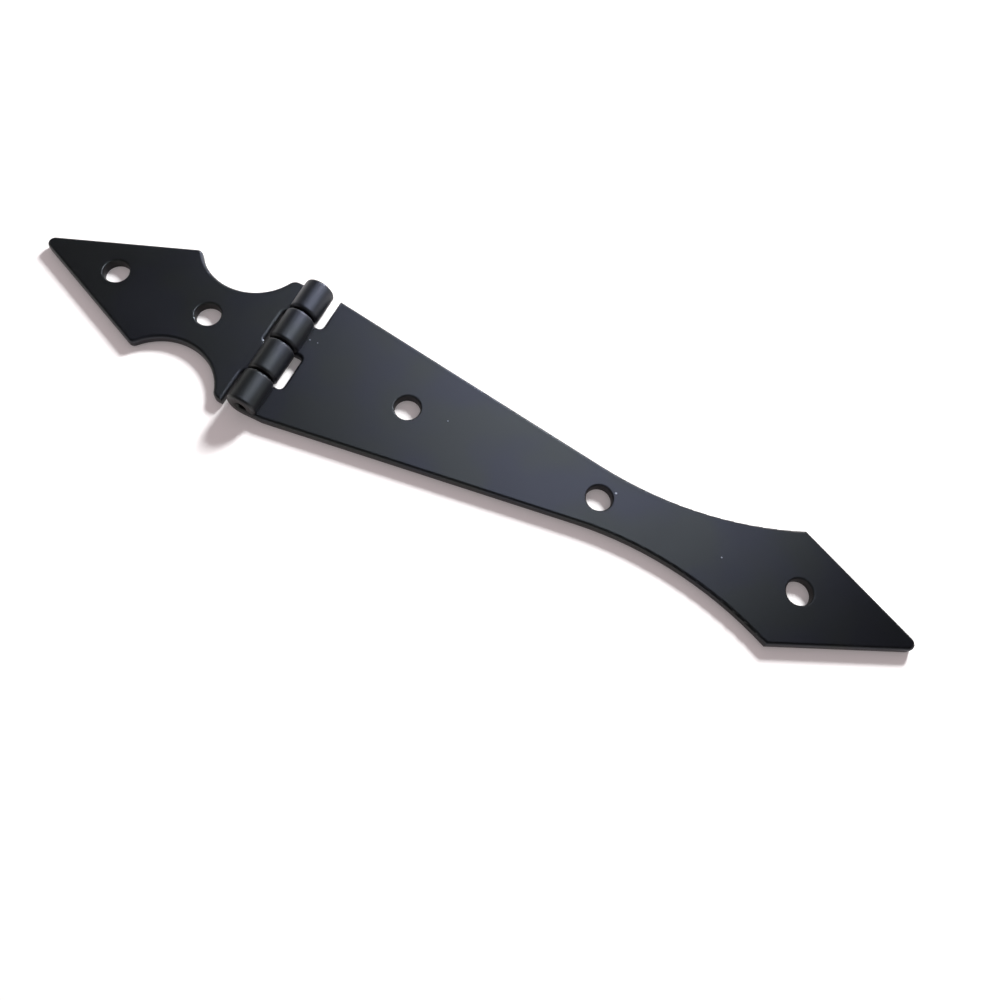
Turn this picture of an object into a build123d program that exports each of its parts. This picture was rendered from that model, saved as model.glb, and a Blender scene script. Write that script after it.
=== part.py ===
from build123d import *
import os
from math import asin, atan2, cos, degrees, hypot, sin, sqrt

# A strap hinge of punched and rolled sheet steel, lying open on its back.
# The origin is the strap's middle screw hole, on the back plane.
# +X points to the strap's tip, +Y across the leaves and +Z to the front.

# Sheet and pin
sheet = 2.3
pin_diameter = 2.0
running_clearance = 0.05
pin_recess = 1.6
pin_chamfer = 0.3

# Barrel of rolled knuckles, taken in turn by the two leaves
barrel_length = 32.7
knuckle_count = 4
knuckle_gap = 0.4
seam_gap = 0.1
slot_clearance = 1.35
slot_corner = 1.0

# Strap, with distances measured from the pin's axis
strap_length = 142.1
strap_first_hole = 29.6
strap_hole_spacing = 44.0
strap_hole_count = 3
neck_distance = 82.3
neck_width = 12.3
strap_head_distance = 114.9
strap_head_width = 26.4

# Short leaf, with distances measured from the pin's axis, and the run from its waist to its head
leaf_length = 57.9
leaf_hole_spacing = 22.7
leaf_hole_count = 2
waist_distance = 18.2
waist_depth = 8.2
waist_radius = 11.9
leaf_head_run = 10.0
leaf_shoulder_radius = 1.3

# Corners, edges and screw holes of both leaves
screw_hole_diameter = 5.5
tip_radius = 1.5
ear_radius = 2.0
hole_rim_bevel = 0.4
front_edge_radius = 0.75
back_edge_bevel = 0.45

# Worked out from the sizes above
pin_radius = pin_diameter / 2
running_radius = pin_radius + running_clearance
barrel_radius = running_radius + sheet
half_barrel = barrel_length / 2
slot_wall = barrel_radius + slot_clearance
knuckle_length = (barrel_length - (knuckle_count - 1) * knuckle_gap) / knuckle_count
knuckle_step = knuckle_length + knuckle_gap
curl_angle = 270 + degrees(asin((running_radius - seam_gap) / barrel_radius))
pin_x = -strap_first_hole - strap_hole_spacing
near = 0.01

# Each leaf is drawn on the back plane, from the pin's axis towards its own tip
strap_frame = Plane(origin=(pin_x, 0, 0))
leaf_frame = Plane(origin=(pin_x, 0, 0), x_dir=(-1, 0, 0))


def touch_point(start, centre, radius, side):
    """Where a line from start touches a circle, on its left (1) or its right (-1)."""
    run = (centre[0] - start[0], centre[1] - start[1])
    distance = hypot(*run)
    heading = atan2(run[1], run[0]) + side * asin(radius / distance)
    length = sqrt(distance**2 - radius**2)
    return (start[0] + length * cos(heading), start[1] + length * sin(heading))


def knuckle_centre(index):
    """Place across the leaf, where the leaf's own knuckles have the even numbers."""
    return (index - (knuckle_count - 1) / 2) * knuckle_step


def draw_tip(shoulder, length):
    """Straight edge from a head's shoulder to the rounded tip on the centre line."""
    edge_end = touch_point(shoulder, (length - tip_radius, 0), tip_radius, 1)
    edge = Line(shoulder, edge_end)
    TangentArc(edge_end, (length, 0), tangent=edge % 1)


def close_outline():
    """Other half of the outline, and its end below the pin."""
    mirror(about=Plane.XZ)
    Line((0, -half_barrel), (0, half_barrel))


def round_corners(distance, radius):
    """Rounds the outline's pair of corners at this distance from the pin."""
    fillet(vertices().filter_by_position(Axis.X, distance - near, distance + near), radius)


def cut_slots():
    """Room for the other leaf's knuckles; the last slot is open at the leaf's edge."""
    for index in range(1, knuckle_count, 2):
        overrun = 2 * slot_corner if index == knuckle_count - 1 else 0
        width = knuckle_length + 2 * knuckle_gap + overrun
        with Locations((0, knuckle_centre(index) + overrun / 2)):
            RectangleRounded(2 * slot_wall, width, slot_corner, mode=Mode.SUBTRACT)


def cut_screw_holes(first, spacing, count):
    """Plain punched holes in a row on the centre line."""
    for hole in range(count):
        with Locations((first + hole * spacing, 0)):
            Circle(screw_hole_diameter / 2, mode=Mode.SUBTRACT)


def roll_knuckles(frame, bore_radius):
    """Sheet that goes under the pin, round its far side and back down to its own leaf."""
    axis = Axis(frame.from_local_coords((0, 0, barrel_radius)), frame.y_dir)
    for index in range(0, knuckle_count, 2):
        start = frame.from_local_coords((0, knuckle_centre(index), 0))
        with BuildSketch(Plane(origin=start, x_dir=frame.y_dir, z_dir=frame.x_dir)) as wall:
            Rectangle(knuckle_length, barrel_radius - bore_radius, align=(Align.CENTER, Align.MIN))
        revolve(wall.sketch, axis=axis, revolution_arc=curl_angle)


def flat_face(height):
    """The leaf's flat face at this height."""
    level = faces().filter_by(Plane.XY).filter_by_position(Axis.Z, height - near, height + near)
    return level.sort_by(SortBy.AREA)[-1]


def outline_edges(height):
    """Outer edges of the flat face at this height, without its end below the pin."""
    outline = flat_face(height).outer_wire().edges()
    ends = outline.filter_by(Axis.Y).filter_by_position(Axis.X, pin_x - near, pin_x + near)
    return outline - ends


def soften_edges():
    """Punched edges: rounded in front, with a bevel behind that runs on round the knuckles."""
    chamfer(flat_face(sheet).inner_wires().edges(), hole_rim_bevel)
    fillet(outline_edges(sheet), front_edge_radius)
    chamfer(outline_edges(0), back_edge_bevel)


with BuildPart() as strap_leaf:
    with BuildSketch(strap_frame):
        with BuildLine():
            neck_rise = (strap_head_width - neck_width) / 2
            neck_run = strap_head_distance - neck_distance
            neck_radius = (neck_run**2 + neck_rise**2) / (2 * neck_rise)
            neck_centre = (neck_distance, neck_width / 2 + neck_radius)
            strap_root = (slot_wall, half_barrel)
            strap_shoulder = (strap_head_distance, strap_head_width / 2)
            Line((0, half_barrel), strap_root)
            taper = Line(strap_root, touch_point(strap_root, neck_centre, neck_radius, -1))
            TangentArc(taper @ 1, strap_shoulder, tangent=taper % 1)
            draw_tip(strap_shoulder, strap_length)
            close_outline()
        make_face()
        cut_slots()
        cut_screw_holes(strap_first_hole, strap_hole_spacing, strap_hole_count)
    extrude(amount=sheet)
    roll_knuckles(strap_frame, running_radius)
    soften_edges()
strap_leaf.part.label = "strap_leaf"

with BuildPart() as short_leaf:
    with BuildSketch(leaf_frame):
        with BuildLine():
            waist_centre_y = half_barrel - waist_depth + waist_radius
            ear_run = sqrt(waist_radius**2 - (waist_centre_y - half_barrel) ** 2)
            head_rise = sqrt(waist_radius**2 - leaf_head_run**2)
            ear_distance = waist_distance - ear_run
            leaf_shoulder = (waist_distance + leaf_head_run, waist_centre_y - head_rise)
            Line((0, half_barrel), (ear_distance, half_barrel))
            RadiusArc((ear_distance, half_barrel), leaf_shoulder, -waist_radius)
            draw_tip(leaf_shoulder, leaf_length)
            close_outline()
        make_face()
        round_corners(ear_distance, ear_radius)
        round_corners(waist_distance + leaf_head_run, leaf_shoulder_radius)
        cut_slots()
        cut_screw_holes(waist_distance, leaf_hole_spacing, leaf_hole_count)
    extrude(amount=sheet)
    roll_knuckles(leaf_frame, pin_radius)
    soften_edges()
short_leaf.part.label = "short_leaf"

with BuildPart() as hinge_pin:
    with BuildSketch(Plane(origin=(pin_x, 0, barrel_radius), z_dir=(0, 1, 0))):
        Circle(pin_radius)
    extrude(amount=half_barrel - pin_recess, both=True)
    chamfer(edges().filter_by(GeomType.CIRCLE), pin_chamfer)
hinge_pin.part.label = "hinge_pin"

os.makedirs("parts", exist_ok=True)
export_step(strap_leaf.part, "parts/strap_leaf.step")
export_step(short_leaf.part, "parts/short_leaf.step")
export_step(hinge_pin.part, "parts/hinge_pin.step")
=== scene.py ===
import math

import bmesh
import bpy
from mathutils import Matrix, Vector


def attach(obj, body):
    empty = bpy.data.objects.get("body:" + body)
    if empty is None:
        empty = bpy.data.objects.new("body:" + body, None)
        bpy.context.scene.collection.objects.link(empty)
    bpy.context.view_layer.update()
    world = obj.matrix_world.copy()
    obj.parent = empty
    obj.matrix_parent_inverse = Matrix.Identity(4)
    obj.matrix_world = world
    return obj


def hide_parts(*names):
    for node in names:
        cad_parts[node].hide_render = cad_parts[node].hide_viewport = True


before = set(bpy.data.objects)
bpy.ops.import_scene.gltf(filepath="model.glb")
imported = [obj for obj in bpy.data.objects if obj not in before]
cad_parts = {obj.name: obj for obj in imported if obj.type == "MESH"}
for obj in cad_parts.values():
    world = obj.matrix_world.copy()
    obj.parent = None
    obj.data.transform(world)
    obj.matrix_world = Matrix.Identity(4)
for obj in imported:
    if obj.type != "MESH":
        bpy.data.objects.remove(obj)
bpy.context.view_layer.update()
scene = bpy.context.scene
scene.view_settings.view_transform = "Standard"
print("frame loaded")


# sRGB hex to the linear colour that Blender works in
def linearColour(hexCode):
    channels = []
    for start in (1, 3, 5):
        value = int(hexCode[start:start + 2], 16) / 255
        channels.append(value / 12.92 if value <= 0.04045 else ((value + 0.055) / 1.055) ** 2.4)
    return (*channels, 1.0)


# a setting goes to the socket of that name or number, or else to the node's own option,
# and a link is a pair of socket and output
def addNode(tree, kind, settings, links=()):
    node = tree.nodes.new(kind)
    for name, value in settings.items():
        if isinstance(name, int) or name in node.inputs:
            node.inputs[name].default_value = value
        else:
            setattr(node, name, value)
    for name, output in links:
        tree.links.new(output, node.inputs[name])
    return node


# 1 for what the camera sees, straight, mirrored or through something clear, and 0 for lighting
def seenDirectly(tree):
    ray = addNode(tree, "ShaderNodeLightPath", {})
    mirrored = addNode(tree, "ShaderNodeMath", {"operation": "MAXIMUM"}, [
        (0, ray.outputs["Is Camera Ray"]), (1, ray.outputs["Is Glossy Ray"])])
    clear = addNode(tree, "ShaderNodeMath", {"operation": "MAXIMUM"}, [
        (0, mirrored.outputs[0]), (1, ray.outputs["Is Transmission Ray"])])
    return clear.outputs[0]


def newMaterial(name):
    material = bpy.data.materials.new(name)
    material.use_nodes = True
    material.node_tree.nodes.clear()
    return material, material.node_tree


def newPiece(name, bm, material):
    mesh = bpy.data.meshes.new(name)
    bm.to_mesh(mesh)
    bm.free()
    mesh.materials.append(material)
    piece = bpy.data.objects.new(name, mesh)
    scene.collection.objects.link(piece)
    return piece


# the photograph's camera: its place, its roll and its lens
cameraSetup = {
    "place": (-0.00313, -0.07279, 0.16089),
    "right": (0.8999, 0.4276, 0.0861),
    "up": (-0.4276, 0.8259, 0.3675),
    "lens": 30.607,
    "sensor": 36.0,
    "clipStart": 0.005,
}


def addCamera(setup):
    data = bpy.data.cameras.new("camera")
    data.lens = setup["lens"]
    data.sensor_width = setup["sensor"]
    data.sensor_fit = "HORIZONTAL"
    data.clip_start = setup["clipStart"]
    camera = bpy.data.objects.new("camera", data)
    right = Vector(setup["right"]).normalized()
    back = right.cross(Vector(setup["up"])).normalized()
    up = back.cross(right)
    turn = Matrix((right, up, back)).transposed().to_4x4()
    camera.matrix_world = Matrix.Translation(setup["place"]) @ turn
    scene.collection.objects.link(camera)
    scene.camera = camera


addCamera(cameraSetup)
print("camera placed")

# matt white paper, a little lighter than its lamps make it, and fully white away from the hinge
floorSetup = {
    "half": 4.0,
    "drop": 0.00004,  # just below the backs of the leaves
    "colour": "#ececec",
    "roughness": 0.9,
    "specular": 0.2,
    "liftColour": "#ffffff",
    "lift": 0.115,
    "liftAway": 1.0,
    "centre": (-0.03, 0.0, 0.0),
    "fade": (0.15, 0.45),  # distances from the centre where the lift starts to rise, and ends
}


def whitePaper(setup):
    material, tree = newMaterial("mattWhitePaper")
    paper = addNode(tree, "ShaderNodeBsdfPrincipled", {
        "Base Color": linearColour(setup["colour"]), "Roughness": setup["roughness"],
        "Specular IOR Level": setup["specular"]})
    where = addNode(tree, "ShaderNodeTexCoord", {}).outputs["Object"]
    away = addNode(tree, "ShaderNodeVectorMath", {
        "operation": "DISTANCE", 1: setup["centre"]}, [(0, where)])
    lift = addNode(tree, "ShaderNodeMapRange", {
        "From Min": setup["fade"][0], "From Max": setup["fade"][1],
        "To Min": setup["lift"], "To Max": setup["liftAway"]}, [("Value", away.outputs["Value"])])
    level = addNode(tree, "ShaderNodeMath", {"operation": "MULTIPLY"}, [
        (0, lift.outputs[0]), (1, seenDirectly(tree))])
    glow = addNode(tree, "ShaderNodeEmission", {"Color": linearColour(setup["liftColour"])}, [
        ("Strength", level.outputs[0])])
    both = addNode(tree, "ShaderNodeAddShader", {}, [(0, paper.outputs[0]), (1, glow.outputs[0])])
    addNode(tree, "ShaderNodeOutputMaterial", {}, [("Surface", both.outputs[0])])
    return material


def addFloor(setup):
    bm = bmesh.new()
    bmesh.ops.create_grid(bm, x_segments=1, y_segments=1, size=setup["half"])
    floor = newPiece("paperSweep", bm, whitePaper(setup))
    floor.location.z = -setup["drop"]


addFloor(floorSetup)

# a dim room for the light, and a white sweep below a dark ceiling for what is seen or mirrored
roomSetup = {
    "colour": "#ffe8ea",
    "level": 0.385,
    "sweepColour": "#ffffff",
    "sweep": 1.0,
    "ceiling": 0.012,
    "sweepTop": (0.24, 0.38),  # heights of the view direction where the sweep ends in the ceiling
}


def addRoom(setup):
    world = bpy.data.worlds.new("studio")
    scene.world = world
    world.use_nodes = True
    tree = world.node_tree
    tree.nodes.clear()
    soft = addNode(tree, "ShaderNodeBackground", {
        "Color": linearColour(setup["colour"]), "Strength": setup["level"]})
    heading = addNode(tree, "ShaderNodeSeparateXYZ", {}, [
        (0, addNode(tree, "ShaderNodeTexCoord", {}).outputs["Generated"])])
    strength = addNode(tree, "ShaderNodeMapRange", {
        "From Min": setup["sweepTop"][0], "From Max": setup["sweepTop"][1],
        "To Min": setup["sweep"], "To Max": setup["ceiling"]}, [("Value", heading.outputs["Z"])])
    white = addNode(tree, "ShaderNodeBackground", {"Color": linearColour(setup["sweepColour"])}, [
        ("Strength", strength.outputs[0])])
    mix = addNode(tree, "ShaderNodeMixShader", {}, [
        (0, seenDirectly(tree)), (1, soft.outputs[0]), (2, white.outputs[0])])
    addNode(tree, "ShaderNodeOutputWorld", {}, [("Surface", mix.outputs[0])])


addRoom(roomSetup)

# the lamp behind the strap that throws the photograph's shadows
keySetup = {
    "place": (0.035, 0.42, 0.255),
    "target": (-0.03, 0.0, 0.0),
    "size": (0.12, 0.12),
    "power": 6.7,
    "spread": 180.0,
    "colour": "#ffffff",
    "mirroredOnly": False,
}

# what the coat mirrors: a weak small lamp low behind the strap, and a soft panel above the barrel
glintSetup = {
    "place": (0.0, 0.323, 0.145),
    "target": (-0.08, 0.0, 0.0),
    "size": (0.04, 0.04),
    "power": 0.062,
    "spread": 33.4,
    "colour": "#e9efff",
    "mirroredOnly": True,
}
panelSetup = {
    "place": (-0.0434, 0.0989, 0.1369),
    "target": (-0.1196, 0.0, 0.0),
    "size": (0.2186, 0.1399),
    "power": 0.225,
    "spread": 123.3,
    "colour": "#e6edff",
    "mirroredOnly": True,
}


def addLamp(name, setup):
    data = bpy.data.lights.new(name, "AREA")
    data.shape = "RECTANGLE"
    data.size, data.size_y = setup["size"]
    data.energy = setup["power"]
    data.spread = math.radians(setup["spread"])
    data.color = linearColour(setup["colour"])[:3]
    lamp = bpy.data.objects.new(name, data)
    lamp.location = setup["place"]
    away = Vector(setup["place"]) - Vector(setup["target"])
    lamp.rotation_euler = away.to_track_quat("Z", "Y").to_euler()
    lamp.visible_camera = False
    lamp.visible_glossy = setup["mirroredOnly"]
    lamp.visible_diffuse = not setup["mirroredOnly"]
    scene.collection.objects.link(lamp)


addLamp("key", keySetup)
addLamp("glint", glintSetup)
addLamp("panel", panelSetup)
print("studio lit")

# satin black powder coat: near-black with a soft sheen, a fine orange peel, and cloudy patches
# of slightly more gloss, whose sheen leans to blue in one place and to green in another
coatSetup = {
    "dark": "#030304",
    "light": "#060607",
    "blueSheen": "#eef1ff",
    "greenSheen": "#f2f7f3",
    "roughness": (0.43, 0.49),
    "ior": 1.5,
    "cloud": 0.009,
    "cloudDetail": 3.0,
    "patchRatio": 0.7,  # the cloud's size against that of a patch of one sheen
    "patchDetail": 1.0,
    "patchEdge": (0.4, 0.6),
    "peel": 0.0009,
    "peelDetail": 2.0,
    "peelHeight": 0.00002,
    "peelStrength": 0.12,
}


def powderCoat(setup):
    material, tree = newMaterial("satinPowderCoat")
    where = addNode(tree, "ShaderNodeTexCoord", {}).outputs["Object"]
    cloud = addNode(tree, "ShaderNodeTexNoise", {
        "Scale": 1 / setup["cloud"], "Detail": setup["cloudDetail"]}, [("Vector", where)])
    colour = addNode(tree, "ShaderNodeMix", {
        "data_type": "RGBA", 6: linearColour(setup["dark"]), 7: linearColour(setup["light"])}, [
        (0, cloud.outputs[0])])
    rough = addNode(tree, "ShaderNodeMapRange", {
        "To Min": setup["roughness"][0], "To Max": setup["roughness"][1]}, [
        ("Value", cloud.outputs[0])])
    patch = addNode(tree, "ShaderNodeTexNoise", {
        "Scale": setup["patchRatio"] / setup["cloud"], "Detail": setup["patchDetail"]}, [
        ("Vector", where)])
    lean = addNode(tree, "ShaderNodeMapRange", {
        "From Min": setup["patchEdge"][0], "From Max": setup["patchEdge"][1]}, [
        ("Value", patch.outputs[0])])
    sheen = addNode(tree, "ShaderNodeMix", {
        "data_type": "RGBA", 6: linearColour(setup["blueSheen"]),
        7: linearColour(setup["greenSheen"])}, [(0, lean.outputs[0])])
    peel = addNode(tree, "ShaderNodeTexNoise", {
        "Scale": 1 / setup["peel"], "Detail": setup["peelDetail"]}, [("Vector", where)])
    bump = addNode(tree, "ShaderNodeBump", {
        "Strength": setup["peelStrength"], "Distance": setup["peelHeight"]}, [
        ("Height", peel.outputs[0])])
    finish = addNode(tree, "ShaderNodeBsdfPrincipled", {"IOR": setup["ior"]}, [
        ("Base Color", colour.outputs[2]), ("Roughness", rough.outputs[0]),
        ("Specular Tint", sheen.outputs[2]), ("Normal", bump.outputs[0])])
    addNode(tree, "ShaderNodeOutputMaterial", {}, [("Surface", finish.outputs[0])])
    return material


coat = powderCoat(coatSetup)

# black oxide on drawn steel wire: a dull dark grey metal with fine draw marks along the pin
wireSetup = {
    "dark": "#141416",
    "light": "#242428",
    "roughness": (0.4, 0.6),
    "mark": (0.0001, 0.004, 0.0001),  # one mark's size across, along and across the pin
    "markDetail": 2.0,
    "markHeight": 0.00001,
    "markStrength": 0.3,
}


def blackenedWire(setup):
    material, tree = newMaterial("blackenedSteelWire")
    where = addNode(tree, "ShaderNodeTexCoord", {}).outputs["Object"]
    drawn = addNode(tree, "ShaderNodeMapping", {
        "Scale": [1 / size for size in setup["mark"]]}, [("Vector", where)])
    marks = addNode(tree, "ShaderNodeTexNoise", {
        "Scale": 1.0, "Detail": setup["markDetail"]}, [("Vector", drawn.outputs[0])])
    colour = addNode(tree, "ShaderNodeMix", {
        "data_type": "RGBA", 6: linearColour(setup["dark"]), 7: linearColour(setup["light"])}, [
        (0, marks.outputs[0])])
    rough = addNode(tree, "ShaderNodeMapRange", {
        "To Min": setup["roughness"][0], "To Max": setup["roughness"][1]}, [
        ("Value", marks.outputs[0])])
    bump = addNode(tree, "ShaderNodeBump", {
        "Strength": setup["markStrength"], "Distance": setup["markHeight"]}, [
        ("Height", marks.outputs[0])])
    finish = addNode(tree, "ShaderNodeBsdfPrincipled", {"Metallic": 1.0}, [
        ("Base Color", colour.outputs[2]), ("Roughness", rough.outputs[0]),
        ("Normal", bump.outputs[0])])
    addNode(tree, "ShaderNodeOutputMaterial", {}, [("Surface", finish.outputs[0])])
    return material


wire = blackenedWire(wireSetup)

# the rolled knuckles' rims are softly rounded, so on the copies their bevel becomes a wider
# quarter round, which fades back to the bevel where the knuckle runs into the flat sheet
rimSetup = {
    "axis": (-0.0736, 0.00335),  # of the pin, along the strap and up
    "outer": 0.00335,
    "knuckles": 4,
    "length": 0.007875,
    "step": 0.008275,
    "bevel": 0.00045,
    "round": 0.00075,
    "fade": (0.0012, 0.0028),  # heights where the round starts, and where it is whole
    "slack": 0.00001,
    "wholeShare": 0.75,  # an edge that crosses more of the bevel than this gets wholeCuts,
    "wholeCuts": 3,
    "halfShare": 0.25,  # and one that crosses less, but more than this, gets halfCuts
    "halfCuts": 1,
}


# how far under the barrel's surface a point of a bevelled rim lies, its knuckle's end and side
def rimPoint(point, setup):
    depth = setup["outer"] - math.hypot(point.x - setup["axis"][0], point.z - setup["axis"][1])
    reach = (-setup["slack"], setup["bevel"] + setup["slack"])
    if point.z < setup["fade"][0] or not reach[0] <= depth <= reach[1]:
        return None
    for index in range(setup["knuckles"]):
        for side in (-1, 1):
            middle = (index - (setup["knuckles"] - 1) / 2) * setup["step"]
            end = middle + side * setup["length"] / 2
            if reach[0] <= (end - point.y) * side <= reach[1]:
                return depth, end, side
    return None


def roundRims(bm, setup):
    whole, half = [], []
    for edge in bm.edges:
        first, last = (rimPoint(vert.co, setup) for vert in edge.verts)
        if first and last and first[1:] == last[1:]:
            crossed = abs(first[0] - last[0]) / setup["bevel"]
            if crossed > setup["wholeShare"]:
                whole.append(edge)
            elif crossed > setup["halfShare"]:
                half.append(edge)
    bmesh.ops.subdivide_edges(bm, edges=whole, cuts=setup["wholeCuts"])
    bmesh.ops.subdivide_edges(bm, edges=half, cuts=setup["halfCuts"])
    low, high = setup["fade"]
    axisX, axisZ = setup["axis"]
    for vert in bm.verts:
        found = rimPoint(vert.co, setup)
        if not found:
            continue
        depth, end, side = found
        turn = min(max(depth / setup["bevel"], 0.0), 1.0) * math.pi / 2
        share = min(max((vert.co.z - low) / (high - low), 0.0), 1.0)
        outward = Vector((vert.co.x - axisX, 0.0, vert.co.z - axisZ)).normalized()
        radius = setup["outer"] - setup["round"] * (1 - math.cos(turn))
        across = end - side * setup["round"] * (1 - math.sin(turn))
        vert.co = vert.co.lerp(Vector((axisX, across, axisZ)) + outward * radius, share)


# how the solids' meshes are cleaned on their copies, with the angles in degrees
copySetup = {
    "merge": 0.000001,  # points that lie closer become one
    "flat": 0.2,  # faces that meet at less become one
    "sharp": 50.0,  # edges where faces meet at more stay sharp
    "weight": 80,
}


# the node's own solid with its loose triangles joined, so that rolled and rounded faces shade
# smoothly while its flat faces stay flat
def joinedCopy(setup, nodeName, pieceName, body, material):
    bm = bmesh.new()
    bm.from_mesh(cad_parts[nodeName].data)
    bmesh.ops.remove_doubles(bm, verts=bm.verts, dist=setup["merge"])
    bmesh.ops.dissolve_limit(
        bm, angle_limit=math.radians(setup["flat"]), verts=bm.verts, edges=bm.edges)
    roundRims(bm, rimSetup)
    sharp = math.radians(setup["sharp"])
    for face in bm.faces:
        face.smooth = True
    for edge in bm.edges:
        edge.smooth = len(edge.link_faces) == 2 and edge.calc_face_angle() < sharp
    piece = newPiece(pieceName, bm, material)
    weigh = piece.modifiers.new("flatFacesStayFlat", "WEIGHTED_NORMAL")
    weigh.keep_sharp = True
    weigh.weight = setup["weight"]
    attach(piece, body)
    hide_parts(nodeName)


joinedCopy(copySetup, "strap_leaf", "coatedStrap", "strap", coat)
joinedCopy(copySetup, "short_leaf", "coatedShortLeaf", "leaf_and_pin", coat)
joinedCopy(copySetup, "hinge_pin", "wirePin", "leaf_and_pin", wire)
print("leaves and pin dressed")

# dust caught in the strap's powder coat: small matt nibs, whose pale grey colour is a painted
# highlight that stands in for the glint they catch
nibSetup = {
    "nibs": (  # where each lies along and across, and its radius
        (-0.0697, 0.0046, 0.00017),
        (-0.0679, 0.0047, 0.00013),
        (-0.0351, 0.0011, 0.00013),
        (0.0027, 0.0024, 0.00026),
        (0.0272, -0.0005, 0.00017),
    ),
    "level": 0.0023,
    "flatness": 0.35,
    "subdivisions": 2,
    "grey": "#5c616b",
    "paleHighlight": "#8e97a6",
    "roughness": 0.7,
    "ior": 1.5,
    "grain": 0.0001,
}


def dustWithPaintedHighlight(setup):
    material, tree = newMaterial("dustNibPaintedHighlight")
    where = addNode(tree, "ShaderNodeTexCoord", {}).outputs["Object"]
    grain = addNode(tree, "ShaderNodeTexNoise", {"Scale": 1 / setup["grain"]}, [
        ("Vector", where)])
    # the nibs' pale grey base colour is painted highlight, not the dust's own colour
    colour = addNode(tree, "ShaderNodeMix", {
        "data_type": "RGBA", 6: linearColour(setup["grey"]), 7: linearColour(setup["paleHighlight"])}, [
        (0, grain.outputs[0])])
    finish = addNode(tree, "ShaderNodeBsdfPrincipled", {
        "Roughness": setup["roughness"], "IOR": setup["ior"]}, [
        ("Base Color", colour.outputs[2])])
    addNode(tree, "ShaderNodeOutputMaterial", {}, [("Surface", finish.outputs[0])])
    return material


def addNibs(setup, body):
    bm = bmesh.new()
    squash = Matrix.Diagonal((1.0, 1.0, setup["flatness"], 1.0))
    for along, across, radius in setup["nibs"]:
        place = Matrix.Translation((along, across, setup["level"])) @ squash
        bmesh.ops.create_icosphere(
            bm, subdivisions=setup["subdivisions"], radius=radius, matrix=place)
    for face in bm.faces:
        face.smooth = True
    piece = newPiece("dustNibs", bm, dustWithPaintedHighlight(setup))
    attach(piece, body)


addNibs(nibSetup, "strap")
print("dust nibs set")
